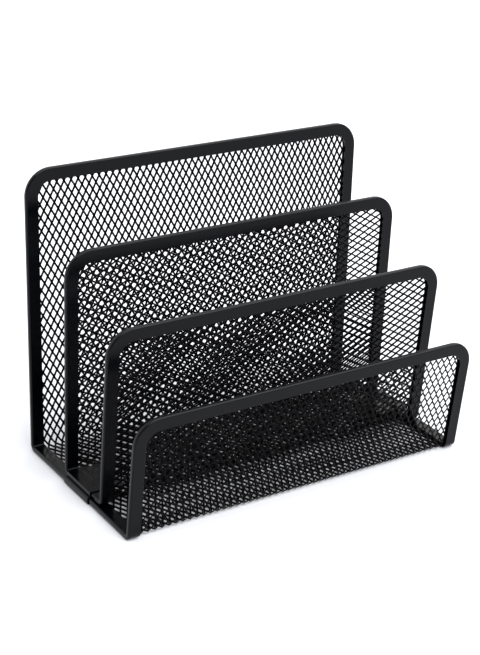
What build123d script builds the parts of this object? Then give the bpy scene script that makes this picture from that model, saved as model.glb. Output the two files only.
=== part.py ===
"""Three-slot desktop file sorter: two bent mesh sheets, channel strip on their edges, two clip plates.

Millimetres. +X runs along the panels, +Y from the front panel to the back panel, +Z up.
The origin is under the middle of the sorter, on the table.
"""

from math import cos, radians, sin, tan
import os

from build123d import *

# Overall shape
OUTER_LENGTH = 175.7  # of the outer U along X, over its rim
INNER_LENGTH = 173.2  # of the inner U, which stands on the outer one's floor
FLOOR_DEPTH = 90.5  # from the front panel to the back panel, at the table
FLOOR_ARCH = 0.55  # rise of the outer floor's middle over its ends

# Each panel: distance behind the front panel at the table, height of its top, forward lean in degrees
BACK_PANEL = (FLOOR_DEPTH, 134.35, -1.0)
SECOND_PANEL = (58.5, 108.35, 0.5)
THIRD_PANEL = (26.25, 86.85, 4.0)
FRONT_PANEL = (0.0, 57.85, 5.5)

# Rim: steel strip folded to a U-channel over the edge of the mesh
RIM_WIDTH = 5.85
RIM_THICKNESS = 2.4
RIM_EDGE_RADIUS = 0.8  # along the outside of the fold
STRIP_THICKNESS = 0.6
STRIP_JOINT = 0.2  # gap where two strips meet, under a clip plate
CORNER_RADIUS = 12.3  # at the top corners of a panel
BEND_RADIUS = 2.2  # of the sheet's middle surface, from the floor into a panel
WINDOW_CUT = 2.8  # thickness of the tool that opens a rim's window

# Mesh sheet
MESH_THICKNESS = RIM_THICKNESS - 2 * STRIP_THICKNESS
MESH_INSET = STRIP_THICKNESS + 0.1  # of the sheet's edge from the outside of the rim

# Clip plates: steel sheet folded over the stacked edges of the two floors
CLIP_THICKNESS = 0.5
CLIP_LENGTH = 22.0  # along Y
CLIP_TOP_REACH = 18.5  # from the outer face to the free edge, on top
CLIP_BOTTOM_REACH = 8.0  # the same underneath
CLIP_FOLD_RADIUS = 0.9  # outside
CLIP_STEP_RUN = 0.8  # of the step down from the rim to the mesh
CLIP_SLACK = 0.05  # between the plate and what it wraps
CLIP_CORNER_RADIUS = 1.5
CLIP_EDGE_RADIUS = 0.1


def lean_reach(panel):
    """How far a panel's top leans out beyond its middle surface at the table."""
    _, height, lean = panel
    return height * tan(radians(abs(lean))) + RIM_THICKNESS / 2 * cos(radians(lean))


HALF_RIM = RIM_THICKNESS / 2
FRONT_Y = (lean_reach(FRONT_PANEL) - lean_reach(BACK_PANEL) - FLOOR_DEPTH) / 2  # centres it on Y
MIDDLE_Y = FRONT_Y + FLOOR_DEPTH / 2
CLIP_BACK_Y = FRONT_Y + SECOND_PANEL[0] - BEND_RADIUS - CLIP_SLACK
OUTER_FLOOR_Z = HALF_RIM  # middle surface of the outer floor at its ends
INNER_FLOOR_Z = OUTER_FLOOR_Z + FLOOR_ARCH + RIM_THICKNESS
OUTER_U = (OUTER_LENGTH, BACK_PANEL, FRONT_PANEL, OUTER_FLOOR_Z, FLOOR_ARCH)
INNER_U = (INNER_LENGTH, SECOND_PANEL, THIRD_PANEL, INNER_FLOOR_Z, 0)


def on_panel(panel, height):
    """The point of a panel's middle surface at a height, in the YZ plane."""
    distance, _, lean = panel
    return (FRONT_Y + distance - height * tan(radians(lean)), height)


def panel_end(panel, inset):
    """The middle of a panel's free end, cut back along its slope by inset."""
    _, top, lean = panel
    return on_panel(panel, top - inset * cos(radians(lean)) - HALF_RIM * sin(radians(abs(lean))))


def bent_sheet(length, rear, front, floor_z, arch, thickness, inset):
    """A U-shaped sheet: two panels and a floor, with all four free edges set in by inset."""
    heel, toe = on_panel(rear, floor_z), on_panel(front, floor_z)
    crown = ((heel[0] + toe[0]) / 2, floor_z + arch)
    ends = [panel_end(rear, inset), panel_end(front, inset)]
    half_length = length / 2 - inset
    with BuildPart() as sheet:
        with BuildLine(Plane.YZ) as route:
            Line(ends[0], heel)
            if arch:
                ThreePointArc(heel, crown, toe)
            else:
                Line(heel, toe)
            Line(toe, ends[1])
            fillet(route.vertices().sort_by(Axis.Z)[:2], BEND_RADIUS)
        start = Plane(origin=route.line @ 0, x_dir=(1, 0, 0), z_dir=route.line % 0)
        with BuildSketch(start):
            Rectangle(2 * half_length, thickness)
        sweep()
        corners = [Vector(x, *end) for x in (-half_length, half_length) for end in ends]
        at_corners = [
            edge
            for edge in sheet.edges()
            if any((edge.center() - corner).length < thickness / 10 for corner in corners)
        ]
        fillet(at_corners, CORNER_RADIUS - inset)
    return sheet.part


def panel_rim(length, rear, front, floor_z, arch, side):
    """The channel strip over one panel and its half of the floor's edges, on one side of MIDDLE_Y."""
    outline = (length, rear, front, floor_z, arch)
    with BuildPart() as rim:
        add(bent_sheet(*outline, RIM_THICKNESS, 0))
        across = rim.edges().filter_by(lambda edge: abs(edge.length - RIM_THICKNESS) < 0.001)
        seams = rim.edges().filter_by(lambda edge: abs(edge.length - length) < 0.001)
        fillet(rim.edges() - across - seams, RIM_EDGE_RADIUS)
        add(bent_sheet(*outline, WINDOW_CUT, RIM_WIDTH), mode=Mode.SUBTRACT)
        add(bent_sheet(*outline, MESH_THICKNESS, STRIP_THICKNESS), mode=Mode.SUBTRACT)
        joint = Plane.XZ.offset(-MIDDLE_Y - side * STRIP_JOINT / 2)
        split(bisect_by=joint, keep=Keep.BOTTOM if side > 0 else Keep.TOP)
    return rim.part


def clip_section():
    """The plate's section in XZ: up over the outer rim, in and over the inner one, down onto the mesh."""
    foot_x = OUTER_LENGTH / 2 + CLIP_SLACK + CLIP_THICKNESS
    ledge_z = OUTER_FLOOR_Z + FLOOR_ARCH + HALF_RIM + CLIP_SLACK + CLIP_THICKNESS
    upper_x = INNER_LENGTH / 2 + CLIP_SLACK + CLIP_THICKNESS
    top_z = INNER_FLOOR_Z + HALF_RIM + CLIP_SLACK + CLIP_THICKNESS
    low_z = top_z - (RIM_THICKNESS - MESH_THICKNESS) / 2
    rim_x = INNER_LENGTH / 2 - RIM_WIDTH - CLIP_SLACK
    step_x = rim_x - CLIP_STEP_RUN
    step_shift = CLIP_THICKNESS / 3  # keeps the sloping step as thick as the rest
    reach_x, under_x = foot_x - CLIP_TOP_REACH, foot_x - CLIP_BOTTOM_REACH
    folds = [(foot_x, 0), (foot_x, ledge_z), (upper_x, top_z)]
    with BuildSketch(Plane.XZ.offset(-CLIP_BACK_Y)) as section:
        with BuildLine():
            Polyline(
                (under_x, 0),
                folds[0],
                folds[1],
                (upper_x, ledge_z),
                folds[2],
                (rim_x + step_shift, top_z),
                (step_x + step_shift, low_z),
                (reach_x, low_z),
                (reach_x, low_z - CLIP_THICKNESS),
                (step_x, low_z - CLIP_THICKNESS),
                (rim_x, top_z - CLIP_THICKNESS),
                (upper_x - CLIP_THICKNESS, top_z - CLIP_THICKNESS),
                (upper_x - CLIP_THICKNESS, ledge_z - CLIP_THICKNESS),
                (foot_x - CLIP_THICKNESS, ledge_z - CLIP_THICKNESS),
                (foot_x - CLIP_THICKNESS, CLIP_THICKNESS),
                (under_x, CLIP_THICKNESS),
                close=True,
            )
        make_face()
        at_folds = section.vertices().filter_by(lambda v: (v.X, v.Z) in folds)
        fillet(at_folds, CLIP_FOLD_RADIUS)
    return section.sketch


def clip_plate():
    """The right-hand plate."""
    with BuildPart() as plate:
        add(clip_section())
        extrude(amount=CLIP_LENGTH, dir=(0, -1, 0))
        free_corners = plate.edges().filter_by(Axis.Z).group_by(Axis.X)[0]
        fillet(free_corners, CLIP_CORNER_RADIUS)
        ends = plate.faces().sort_by(Axis.Y)
        fillet(ends[0].edges() + ends[-1].edges(), CLIP_EDGE_RADIUS)
    return plate.part


def write_piece(piece, name):
    """Labels a finished piece and writes it as parts/name.step."""
    piece.label = name
    export_step(piece, f"parts/{name}.step")


os.makedirs("parts", exist_ok=True)

write_piece(bent_sheet(*OUTER_U, MESH_THICKNESS, MESH_INSET), "outer_mesh_sheet")
write_piece(bent_sheet(*INNER_U, MESH_THICKNESS, MESH_INSET), "inner_mesh_sheet")
write_piece(panel_rim(*OUTER_U, side=1), "back_panel_rim")
write_piece(panel_rim(*OUTER_U, side=-1), "front_panel_rim")
write_piece(panel_rim(*INNER_U, side=1), "second_panel_rim")
write_piece(panel_rim(*INNER_U, side=-1), "third_panel_rim")

right_clip = clip_plate()
write_piece(right_clip, "right_clip_plate")
write_piece(mirror(right_clip, about=Plane.YZ), "left_clip_plate")
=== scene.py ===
from math import acos, cos, hypot, radians, sin, tan

import bmesh
import bpy
import numpy as np
from mathutils import Matrix, Vector


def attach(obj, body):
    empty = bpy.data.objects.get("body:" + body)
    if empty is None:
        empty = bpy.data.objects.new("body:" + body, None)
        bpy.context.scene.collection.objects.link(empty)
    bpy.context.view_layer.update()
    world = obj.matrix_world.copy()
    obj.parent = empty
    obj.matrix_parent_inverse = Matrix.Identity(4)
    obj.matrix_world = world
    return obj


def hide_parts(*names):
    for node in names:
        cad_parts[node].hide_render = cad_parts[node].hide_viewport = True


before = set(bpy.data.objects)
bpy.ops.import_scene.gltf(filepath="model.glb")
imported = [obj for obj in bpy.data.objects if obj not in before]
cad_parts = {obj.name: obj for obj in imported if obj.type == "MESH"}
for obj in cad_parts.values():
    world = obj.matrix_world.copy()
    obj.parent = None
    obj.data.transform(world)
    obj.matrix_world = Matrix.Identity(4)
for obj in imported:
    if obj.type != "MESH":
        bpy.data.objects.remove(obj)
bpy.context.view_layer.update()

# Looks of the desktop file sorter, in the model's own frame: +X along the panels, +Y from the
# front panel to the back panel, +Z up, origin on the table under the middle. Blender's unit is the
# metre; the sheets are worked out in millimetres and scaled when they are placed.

MM = 0.001

# ---------------------------------------------------------------- dimensions of the CAD model, mm
OUTER_LENGTH = 175.7
INNER_LENGTH = 173.2
FRONT_Y = -43.640  # of the front panel's middle surface at the table
RIM_THICKNESS = 2.4
HALF_RIM = RIM_THICKNESS / 2
CORNER_RADIUS = 12.3
BEND_RADIUS = 2.2
FLOOR_ARCH = 0.55
BACK_PANEL = (90.5, 134.35, -1.0)  # distance behind the front panel, height, forward lean
SECOND_PANEL = (58.5, 108.35, 0.5)
THIRD_PANEL = (26.25, 86.85, 4.0)
FRONT_PANEL = (0.0, 57.85, 5.5)

# ---------------------------------------------------------------- expanded metal, mm
STRAND_THICKNESS = 0.45
STRAND_BEVEL = 0.12  # how much wider an opening is at the faces than at mid-thickness
OUTER_STRAND = 0.8  # width of a strand at mid-thickness
INNER_STRAND = 0.67
KNOT_EXTRA = 0.06  # by which a knot is wider than the crossing of its strands, each side
TIP_EXTRA = 0.2  # by which the long tips of an opening are blunted
STRAND_RAISE = 0.25  # how far the edges of the turned strands stand off the middle surface
SHEET_INSET = 1.6  # from the outside of the rim to the cut edge of the mesh
BLEND_HEIGHT = 3.0  # on a panel; below it the panel's weave blends into the floor's
EDGE_MARGIN = 4.5  # by which openings are laid past the sheet's edges, before they are trimmed
TRIM_ANGLES = (15, 37, 53, 75)  # degrees, of the straight cuts that round a corner of the sheet

# ---------------------------------------------------------------- steps of the calculations
FLOOR_STEPS = 180  # along the arch of a floor
BEND_REACH = 1.2  # bend radii from a corner within which the floor's own points are left out
SLOPE_STEP = 0.5  # mm, over which a weave's slope is taken
NEWTON_STEP = 0.01  # mm, over which Newton's method takes a slope
NEWTON_ROUNDS = 12
NEWTON_REACH = 6.0  # mm, the longest move of one round
GRID = (40, 60)  # points along X and along the route that find the range of the lattice
GRID_MARGIN = 4  # half openings added to that range
TOUCH = 1e-6  # mm, within which a face counts as reaching a cut
WELD = 1e-5  # mm, within which a corner counts as lying on a cut


class Route:
    """The middle surface of a bent sheet in the YZ plane, by distance along it.

    Distance 0 is where the rear panel would meet the table; it grows up the rear panel as
    positive numbers and over the floor and up the front panel as negative ones.
    """

    def __init__(self, rear, front, floor_z, arch):
        self.rear, self.front = rear, front
        heel, toe = on_panel(rear, floor_z), on_panel(front, floor_z)
        rear_end, front_end = panel_end(rear), panel_end(front)
        half = (heel[0] - toe[0]) / 2
        middle = (heel[0] + toe[0]) / 2
        run = np.linspace(1, -1, FLOOR_STEPS + 1)
        floor = np.stack([middle + half * run, floor_z + arch * (1 - run**2)], 1)
        points = [rear_end]
        points += bend(rear_end, heel, tuple(floor[1]))
        flat_half = half - BEND_RADIUS * BEND_REACH
        points += [tuple(p) for p in floor if abs(p[0] - middle) < flat_half]
        points += bend(tuple(floor[-2]), toe, front_end)
        points.append(front_end)
        self.points = np.array(points)
        steps = np.hypot(*np.diff(self.points, axis=0).T)
        along = np.concatenate([[0], np.cumsum(steps)])
        start = self.points[0][1] / cos(radians(rear[2]))
        self.along = start - along  # falls from the rear end to the front end
        front_top = self.points[-1][1] / cos(radians(front[2]))
        # on the front panel, distance = front_shift - slope height
        self.front_shift = self.along[-1] + front_top
        direction = np.gradient(self.points, -self.along, axis=0)
        direction /= np.hypot(*direction.T)[:, None]
        self.normals = np.stack([direction[:, 1], -direction[:, 0]], 1)

    def place(self, x, s, lift):
        """Points of the row frame, mm, for sheet coordinates and a height over the middle surface."""
        order = slice(None, None, -1)
        y, z, ny, nz = (
            np.interp(s, self.along[order], column[order])
            for column in (*self.points.T, *self.normals.T)
        )
        size = np.hypot(ny, nz)
        return np.stack([x, y + lift * ny / size, z + lift * nz / size], 1)


def on_panel(panel, height):
    distance, _, lean = panel
    return (FRONT_Y + distance - height * tan(radians(lean)), height)


def panel_end(panel):
    """The middle of a panel's top edge."""
    _, top, lean = panel
    return on_panel(panel, top - HALF_RIM * sin(radians(abs(lean))))


def bend(before, corner, after, steps=10):
    """Points of the arc that rounds a corner of the route."""
    a, c, b = (np.array(p) for p in (before, corner, after))
    d1, d2 = (c - a) / np.hypot(*(c - a)), (b - c) / np.hypot(*(b - c))
    turn = acos(float(d1 @ d2))
    cut = BEND_RADIUS * tan(turn / 2)
    side = d2 - d1 * float(d1 @ d2)
    centre = c - d1 * cut + side / np.hypot(*side) * BEND_RADIUS
    spoke = c - d1 * cut - centre
    points = []
    for step in range(steps + 1):
        angle = turn * step / steps
        points.append(tuple(centre + spoke * cos(angle) + d1 * BEND_RADIUS * sin(angle)))
    return points


class Weave:
    """Where the openings of one flat panel lie.

    In lattice coordinates the openings are centred at halves (i/2, j/2) with i + j even: u counts
    them across their short way and v along their long way. On an upright weave the long way runs
    up the panel, on a lying one along X. Turns are slopes of the rows and bows their slow bending
    away from the middle of the panel.
    """

    def __init__(self, upright, short, long_, short_turn, long_turn, start, bows):
        self.upright, self.short, self.long = upright, short, long_
        self.short_turn, self.long_turn = short_turn, long_turn
        self.start, self.bows = start, bows

    def at(self, x, s):
        """Lattice coordinates of a point, x along the panel and s up its slope from the table."""
        across, up = (x, s) if self.upright else (s, x)
        u = (across + self.short_turn * up) / self.short + self.bows[0] * x**2
        v = (up + self.long_turn * across) / self.long + self.bows[1] * x**2
        return u + self.start[0], v + self.start[1]


class Lattice:
    """Lattice coordinates over a whole bent sheet: its two panels' weaves, joined over the floor."""

    def __init__(self, rear, front, route):
        self.rear, self.front, self.route = rear, front, route
        self.upright = rear.upright
        self.short, self.long = (rear.short + front.short) / 2, (rear.long + front.long) / 2
        self.high = BLEND_HEIGHT
        self.low = route.front_shift - BLEND_HEIGHT
        run = self.high - self.low
        (u1, v1), (u2, v2) = rear.at(0, self.high), front.at(0, BLEND_HEIGHT)
        if self.upright:
            self.row_sum = round(v1 + v2 - run / self.long)
            self.side_shift = round(u1 - u2)
        else:
            self.row_sum = round(u1 + u2 - run / self.short)
            self.side_shift = round(v1 - v2)

    def on_front(self, x, s):
        """The front panel's weave in the rear panel's sense: its rows are numbered downwards."""
        u, v = self.front.at(x, self.route.front_shift - s)
        if self.upright:
            return u + self.side_shift, self.row_sum - v
        return self.row_sum - u, v + self.side_shift

    def at(self, x, s):
        """Lattice coordinates of a point, x along the panels and s along the route."""
        floor_s = np.clip(s, self.low, self.high)
        t = (floor_s - self.low) / (self.high - self.low)
        run = self.high - self.low
        joined = []
        for k in (0, 1):
            r0 = self.rear.at(x, np.full_like(s, self.high))[k]
            r1 = (self.rear.at(x, np.full_like(s, self.high + SLOPE_STEP))[k] - r0) / SLOPE_STEP
            f0 = self.on_front(x, np.full_like(s, self.low))[k]
            f1 = (f0 - self.on_front(x, np.full_like(s, self.low - SLOPE_STEP))[k]) / SLOPE_STEP
            hermite = (
                f0 * (1 + 2 * t) * (1 - t) ** 2 + f1 * run * t * (1 - t) ** 2
                + r0 * t**2 * (3 - 2 * t) + r1 * run * t**2 * (t - 1)
            )
            on_rear, on_front = self.rear.at(x, s)[k], self.on_front(x, s)[k]
            joined.append(np.where(s > self.high, on_rear, np.where(s < self.low, on_front, hermite)))
        return joined

    def invert(self, u, v):
        """(x, s) of the lattice points (u, v), by Newton's method."""
        (u0, v0), (u1, v1) = self.rear.at(0, self.high), self.on_front(0, self.low)
        if self.upright:
            x = (u - u0) * self.short
            s = self.high + (v - v0) / (v0 - v1) * (self.high - self.low)
        else:
            x = (v - v0) * self.long
            s = self.high + (u - u0) / (u0 - u1) * (self.high - self.low)
        step = NEWTON_STEP
        for _ in range(NEWTON_ROUNDS):
            fu, fv = self.at(x, s)
            ux, vx = ((b - a) / step for a, b in zip((fu, fv), self.at(x + step, s)))
            us, vs = ((b - a) / step for a, b in zip((fu, fv), self.at(x, s + step)))
            det = ux * vs - us * vx
            du, dv = u - fu, v - fv
            x = x + np.clip((vs * du - us * dv) / det, -NEWTON_REACH, NEWTON_REACH)
            s = s + np.clip((ux * dv - vx * du) / det, -NEWTON_REACH, NEWTON_REACH)
        return x, s


def opening_ring(bevel, short, long_, strand):
    """The six corners of an opening about its centre, mm, widened by bevel."""
    nx, ny = long_ / hypot(short, long_), short / hypot(short, long_)
    reach = nx * short / 2 - strand / 2 + bevel
    half_width = reach / nx - KNOT_EXTRA
    side = (reach - nx * half_width) / ny
    tip = reach / ny - TIP_EXTRA
    right_half = [(0, tip), (half_width, side), (half_width, -side)]
    return right_half + [(-x, -y) for x, y in right_half]


def expanded_metal(name, route, length, lattice, turned, strand):
    """A sheet of raised expanded metal over the whole route, as one closed mesh.

    Each strand is turned about the long way of the openings, to the side that turned gives (1 or -1).
    The sheet is built flat, as rings of six corners round every opening, then trimmed and bent.
    """
    short, long_ = lattice.short, lattice.long
    half_x = length / 2 - SHEET_INSET
    s_high, s_low = route.along[0] - SHEET_INSET, route.along[-1] + SHEET_INSET
    grid_x, grid_s = (
        a.ravel()
        for a in np.meshgrid(np.linspace(-half_x, half_x, GRID[0]), np.linspace(s_low, s_high, GRID[1]))
    )
    grid_u, grid_v = lattice.at(grid_x, grid_s)
    low_u, high_u = int(2 * grid_u.min()) - GRID_MARGIN, int(2 * grid_u.max()) + GRID_MARGIN
    low_v, high_v = int(2 * grid_v.min()) - GRID_MARGIN, int(2 * grid_v.max()) + GRID_MARGIN
    keys = [(i, j) for i in range(low_u, high_u) for j in range(low_v, high_v) if (i - j) % 2 == 0]
    uv = np.array(keys) / 2
    x, s = lattice.invert(uv[:, 0], uv[:, 1])
    inside = (np.abs(x) < half_x + EDGE_MARGIN) & (s < s_high + EDGE_MARGIN) & (s > s_low - EDGE_MARGIN)
    keys = [k for k, keep in zip(keys, inside) if keep]
    uv = uv[inside]
    index = {k: n for n, k in enumerate(keys)}

    outer_ring = np.array(opening_ring(STRAND_BEVEL, short, long_, strand))
    inner_ring = np.array(opening_ring(0, short, long_, strand))
    half_t = STRAND_THICKNESS / 2
    sides = np.array([0, 1, 1, 0, -1, -1]) * turned * STRAND_RAISE
    coords = []
    for ring, lift in ((outer_ring, half_t), (inner_ring, 0), (outer_ring, -half_t)):
        u = uv[:, None, 0] + ring[None, :, 0] / short
        v = uv[:, None, 1] + ring[None, :, 1] / long_
        px, ps = lattice.invert(u.ravel(), v.ravel())
        coords.append(np.stack([px, ps, lift + np.tile(sides, len(keys))], 1))
    layer = len(keys) * 6
    points = np.concatenate(coords)

    flip = not lattice.upright
    faces = []

    def face(*corners):
        faces.append(corners[::-1] if flip else corners)

    T, UR, LR, B, LL, UL = range(6)
    for (i, j), n in index.items():
        a = 6 * n
        right = index.get((i + 2, j))
        up_right = index.get((i + 1, j + 1))
        down_right = index.get((i + 1, j - 1))
        for k in range(6):
            m = (k + 1) % 6
            top, mid, low = 0, layer, 2 * layer
            face(top + a + k, top + a + m, mid + a + m, mid + a + k)
            face(mid + a + k, mid + a + m, low + a + m, low + a + k)
        if up_right is not None:
            c = 6 * up_right
            strand = (a + UR, c + B, c + LL, a + T)
            face(*strand)
            face(*(2 * layer + p for p in strand[::-1]))
        if down_right is not None:
            d = 6 * down_right
            strand = (a + B, d + UL, d + T, a + LR)
            face(*strand)
            face(*(2 * layer + p for p in strand[::-1]))
        if None not in (right, up_right, down_right):
            c, d, r = 6 * up_right, 6 * down_right, 6 * right
            knot = (a + UR, a + LR, d + T, r + LL, r + UL, c + B)
            for part in ((knot[0], knot[1], knot[4], knot[5]), (knot[1], knot[2], knot[3], knot[4])):
                face(*part)
                face(*(2 * layer + p for p in part[::-1]))
    mesh = bpy.data.meshes.new(name)
    mesh.from_pydata(points.tolist(), [], faces)
    trim(mesh, half_x, s_low, s_high, CORNER_RADIUS - SHEET_INSET)
    flat = np.zeros(len(mesh.vertices) * 3)
    mesh.vertices.foreach_get("co", flat)
    flat = flat.reshape(-1, 3)
    placed = route.place(flat[:, 0], flat[:, 1], flat[:, 2]) * MM
    mesh.vertices.foreach_set("co", placed.ravel())
    mesh.update()
    piece = bpy.data.objects.new(name, mesh)
    bpy.context.scene.collection.objects.link(piece)
    return piece


def trim(mesh, half_x, s_low, s_high, radius):
    """Cuts the flat lattice to a rounded rectangle and closes the cut ends."""
    bm = bmesh.new()
    bm.from_mesh(mesh)
    planes = [
        ((half_x, 0, 0), (1, 0, 0)),
        ((-half_x, 0, 0), (-1, 0, 0)),
        ((0, s_high, 0), (0, 1, 0)),
        ((0, s_low, 0), (0, -1, 0)),
    ]
    for side in (-1, 1):
        for centre_s, way in ((s_high - radius, 1), (s_low + radius, -1)):
            for angle in TRIM_ANGLES:
                normal = (side * cos(radians(angle)), way * sin(radians(angle)), 0)
                spot = (side * (half_x - radius) + radius * normal[0], centre_s + radius * normal[1], 0)
                planes.append((spot, normal))
    for spot, normal in planes:
        direction, at = Vector(normal), Vector(spot)
        near = [f for f in bm.faces if max((v.co - at).dot(direction) for v in f.verts) > -TOUCH]
        geometry = set(near)
        for f in near:
            geometry.update(f.edges)
            geometry.update(f.verts)
        cut = bmesh.ops.bisect_plane(
            bm, geom=list(geometry), plane_co=at, plane_no=direction, clear_outer=True, dist=WELD
        )
        rim = [e for e in cut["geom_cut"] if isinstance(e, bmesh.types.BMEdge) and e.is_boundary]
        if rim:
            bmesh.ops.edgenet_fill(bm, edges=rim)
    loose = [v for v in bm.verts if not v.link_faces]
    bmesh.ops.delete(bm, geom=loose, context="VERTS")
    bmesh.ops.triangulate(bm, faces=bm.faces[:])
    bmesh.ops.recalc_face_normals(bm, faces=bm.faces[:])
    for f in bm.faces:
        f.smooth = True
    bm.to_mesh(mesh)
    bm.free()


# ---------------------------------------------------------------- materials
CLOUD_SCALE, PEEL_SCALE, DUST_SCALE = 55, 1500, 9000  # per metre
BLACK_RANGE = (0.8, 1.25)  # of the colour, from the clouds' dark to their light
SHEEN_RANGE = (-0.05, 0.06)  # of the roughness
DUST_SHARE = 0.35  # of the dust in the height, next to the orange peel
PEEL_STRENGTH, PEEL_HEIGHT = 0.35, 0.00002


def powder_coat(name, colour, roughness, specular):
    """Satin black powder coat: a very fine orange peel, uneven sheen and slightly uneven black."""
    material = bpy.data.materials.new(name)
    material.use_nodes = True
    tree = material.node_tree
    nodes, links = tree.nodes, tree.links
    shader = nodes["Principled BSDF"]
    place = nodes.new("ShaderNodeTexCoord")

    def noise(scale, detail):
        node = nodes.new("ShaderNodeTexNoise")
        node.inputs["Scale"].default_value = scale
        node.inputs["Detail"].default_value = detail
        links.new(place.outputs["Object"], node.inputs["Vector"])
        return node

    cloud, peel, dust = noise(CLOUD_SCALE, 4), noise(PEEL_SCALE, 2), noise(DUST_SCALE, 1)
    ramp = nodes.new("ShaderNodeValToRGB")
    ramp.color_ramp.elements[0].position = 0.3
    ramp.color_ramp.elements[1].position = 0.75
    for element, share in zip(ramp.color_ramp.elements, BLACK_RANGE):
        element.color = (*[c * share for c in colour], 1)
    links.new(cloud.outputs["Fac"], ramp.inputs["Fac"])
    links.new(ramp.outputs["Color"], shader.inputs["Base Color"])
    rough = nodes.new("ShaderNodeMapRange")
    rough.inputs["From Min"].default_value = 0.3
    rough.inputs["From Max"].default_value = 0.7
    rough.inputs["To Min"].default_value = roughness + SHEEN_RANGE[0]
    rough.inputs["To Max"].default_value = roughness + SHEEN_RANGE[1]
    links.new(peel.outputs["Fac"], rough.inputs["Value"])
    links.new(rough.outputs["Result"], shader.inputs["Roughness"])
    height = nodes.new("ShaderNodeMath")
    height.operation = "MULTIPLY_ADD"
    height.inputs[1].default_value = DUST_SHARE
    links.new(dust.outputs["Fac"], height.inputs[0])
    links.new(peel.outputs["Fac"], height.inputs[2])
    bumps = nodes.new("ShaderNodeBump")
    bumps.inputs["Strength"].default_value = PEEL_STRENGTH
    bumps.inputs["Distance"].default_value = PEEL_HEIGHT
    links.new(height.outputs["Value"], bumps.inputs["Height"])
    links.new(bumps.outputs["Normal"], shader.inputs["Normal"])
    shader.inputs["Specular IOR Level"].default_value = specular
    return material


def paint(piece, material):
    piece.data.materials.clear()
    piece.data.materials.append(material)


RIM_COAT = powder_coat("rim_powder_coat", (0.0003, 0.0005, 0.0011), 0.2, 0.14)
CLIP_COAT = powder_coat("clip_powder_coat", (0.0003, 0.0005, 0.0011), 0.22, 0.14)
MESH_COAT = powder_coat("mesh_powder_coat", (0.0003, 0.0003, 0.0006), 0.3, 0.04)

for node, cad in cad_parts.items():
    if node.endswith(("rim", "plate")):
        coat = RIM_COAT if node.endswith("rim") else CLIP_COAT
        for slot in cad.material_slots:
            slot.material = coat

# ---------------------------------------------------------------- the two mesh sheets
OUTER_ROUTE = Route(BACK_PANEL, FRONT_PANEL, HALF_RIM, FLOOR_ARCH)
INNER_ROUTE = Route(SECOND_PANEL, THIRD_PANEL, HALF_RIM + FLOOR_ARCH + RIM_THICKNESS, 0)
BACK_WEAVE = Weave(True, 3.377, 6.152, 0.0388, -0.0156, (-0.807, 0.235), (5.6e-5, -1.6e-5))
FRONT_WEAVE = Weave(True, 3.383, 6.328, 0.0119, 0.0047, (-0.098, -0.076), (6.1e-5, -2.0e-5))
SECOND_WEAVE = Weave(False, 3.311, 6.043, -0.0043, -0.0378, (-0.128, -0.068), (3.5e-5, -1.1e-5))
THIRD_WEAVE = Weave(False, 3.440, 5.995, 0.0075, 0.0103, (-0.034, 0.440), (-2.7e-5, 4.2e-5))
OUTER_LATTICE = Lattice(BACK_WEAVE, FRONT_WEAVE, OUTER_ROUTE)
INNER_LATTICE = Lattice(SECOND_WEAVE, THIRD_WEAVE, INNER_ROUTE)

outer = expanded_metal("outer_mesh", OUTER_ROUTE, OUTER_LENGTH, OUTER_LATTICE, -1, OUTER_STRAND)
inner = expanded_metal("inner_mesh", INNER_ROUTE, INNER_LENGTH, INNER_LATTICE, 1, INNER_STRAND)
for piece, node in ((outer, "outer_mesh_sheet"), (inner, "inner_mesh_sheet")):
    paint(piece, MESH_COAT)
    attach(piece, "root")
    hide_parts(node)

# ---------------------------------------------------------------- floor, light and camera
FLOOR_HALF_SIDE = 6.0
FLOOR_COLOUR = (0.6, 0.607, 0.635, 1)
ROOM_STRENGTH = 0.45  # of the light from the side of the front panel
CARD_STRENGTH = 1.8  # of the light from the side of the back panel
BACKDROP_STRENGTH = 1.3  # of what the camera sees past the floor
CARD_EDGE = (-0.1, 0.5)  # Y of the directions between which the room gives way to the card
KEY_TOWARDS = (-0.3, 0.45, -0.8)
KEY_STRENGTH = 6.0
KEY_SIZE = 80  # degrees across, as large as a softbox close by

LENS, SENSOR = 86.0, 36.0
FRAME_SHIFT = (0.00597, -0.00182)
CLIP_RANGE = (0.01, 50)
CAMERA_SPOT = (-0.36062, -0.53394, 0.34614)
CAMERA_TURN, CAMERA_RISE, CAMERA_ROLL = radians(-33.39), radians(23.77), radians(2.25)


def add_floor():
    """A plain pale floor."""
    mesh = bpy.data.meshes.new("floor")
    side = FLOOR_HALF_SIDE
    corners = [(-side, -side, 0), (side, -side, 0), (side, side, 0), (-side, side, 0)]
    mesh.from_pydata(corners, [], [(0, 1, 2, 3)])
    floor = bpy.data.objects.new("floor", mesh)
    bpy.context.scene.collection.objects.link(floor)
    pale = bpy.data.materials.new("pale_floor")
    pale.use_nodes = True
    shader = pale.node_tree.nodes["Principled BSDF"]
    shader.inputs["Base Color"].default_value = FLOOR_COLOUR
    shader.inputs["Roughness"].default_value = 0.9
    shader.inputs["Specular IOR Level"].default_value = 0.1
    paint(floor, pale)


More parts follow.
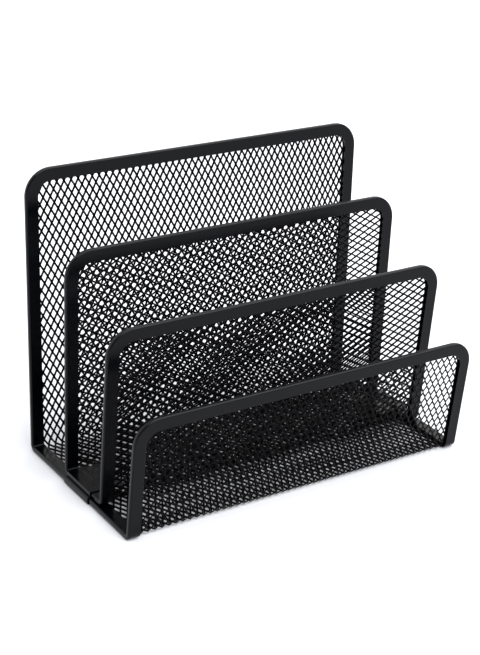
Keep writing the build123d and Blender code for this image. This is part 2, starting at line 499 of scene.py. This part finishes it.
def add_studio():
    """A white card behind the object and a dimmer room in front; seen directly, an even white."""
    world = bpy.data.worlds.new("studio")
    world.use_nodes = True
    nodes, links = world.node_tree.nodes, world.node_tree.links
    background = nodes["Background"]
    background.inputs["Color"].default_value = (1, 1, 1, 1)
    direction = nodes.new("ShaderNodeTexCoord")
    axes = nodes.new("ShaderNodeSeparateXYZ")
    card = nodes.new("ShaderNodeMapRange")
    card.inputs["From Min"].default_value = CARD_EDGE[0]
    card.inputs["From Max"].default_value = CARD_EDGE[1]
    card.inputs["To Min"].default_value = ROOM_STRENGTH
    card.inputs["To Max"].default_value = CARD_STRENGTH
    links.new(direction.outputs["Generated"], axes.inputs["Vector"])
    links.new(axes.outputs["Y"], card.inputs["Value"])
    seen = nodes.new("ShaderNodeLightPath")
    strength = nodes.new("ShaderNodeMapRange")
    strength.inputs["To Max"].default_value = BACKDROP_STRENGTH
    links.new(seen.outputs["Is Camera Ray"], strength.inputs["Value"])
    links.new(card.outputs["Result"], strength.inputs["To Min"])
    links.new(strength.outputs["Result"], background.inputs["Strength"])
    bpy.context.scene.world = world


def add_key():
    """One large soft light from the front, the right and above."""
    light = bpy.data.lights.new("key_softbox", "SUN")
    light.energy = KEY_STRENGTH
    light.angle = radians(KEY_SIZE)
    lamp = bpy.data.objects.new("key_softbox", light)
    lamp.rotation_euler = Vector(KEY_TOWARDS).to_track_quat("-Z", "Y").to_euler()
    bpy.context.scene.collection.objects.link(lamp)


def add_camera():
    """The camera, turned about the upright, raised, and rolled about its own axis."""
    data = bpy.data.cameras.new("camera")
    data.lens = LENS
    data.sensor_width = SENSOR
    data.sensor_fit = "AUTO"
    data.shift_x, data.shift_y = FRAME_SHIFT
    data.clip_start, data.clip_end = CLIP_RANGE
    camera = bpy.data.objects.new("camera", data)
    turn, rise, roll = CAMERA_TURN, CAMERA_RISE, CAMERA_ROLL
    back = Vector((sin(turn) * cos(rise), -cos(turn) * cos(rise), sin(rise)))
    right = Vector((cos(turn), sin(turn), 0))
    up = back.cross(right)
    rolled_right = right * cos(roll) + up * sin(roll)
    rolled_up = up * cos(roll) - right * sin(roll)
    pose = Matrix((rolled_right, rolled_up, back)).transposed().to_4x4()
    pose.translation = CAMERA_SPOT
    camera.matrix_world = pose
    bpy.context.scene.collection.objects.link(camera)
    bpy.context.scene.camera = camera


add_floor()
add_studio()
add_key()
add_camera()
bpy.context.scene.view_settings.view_transform = "Standard"
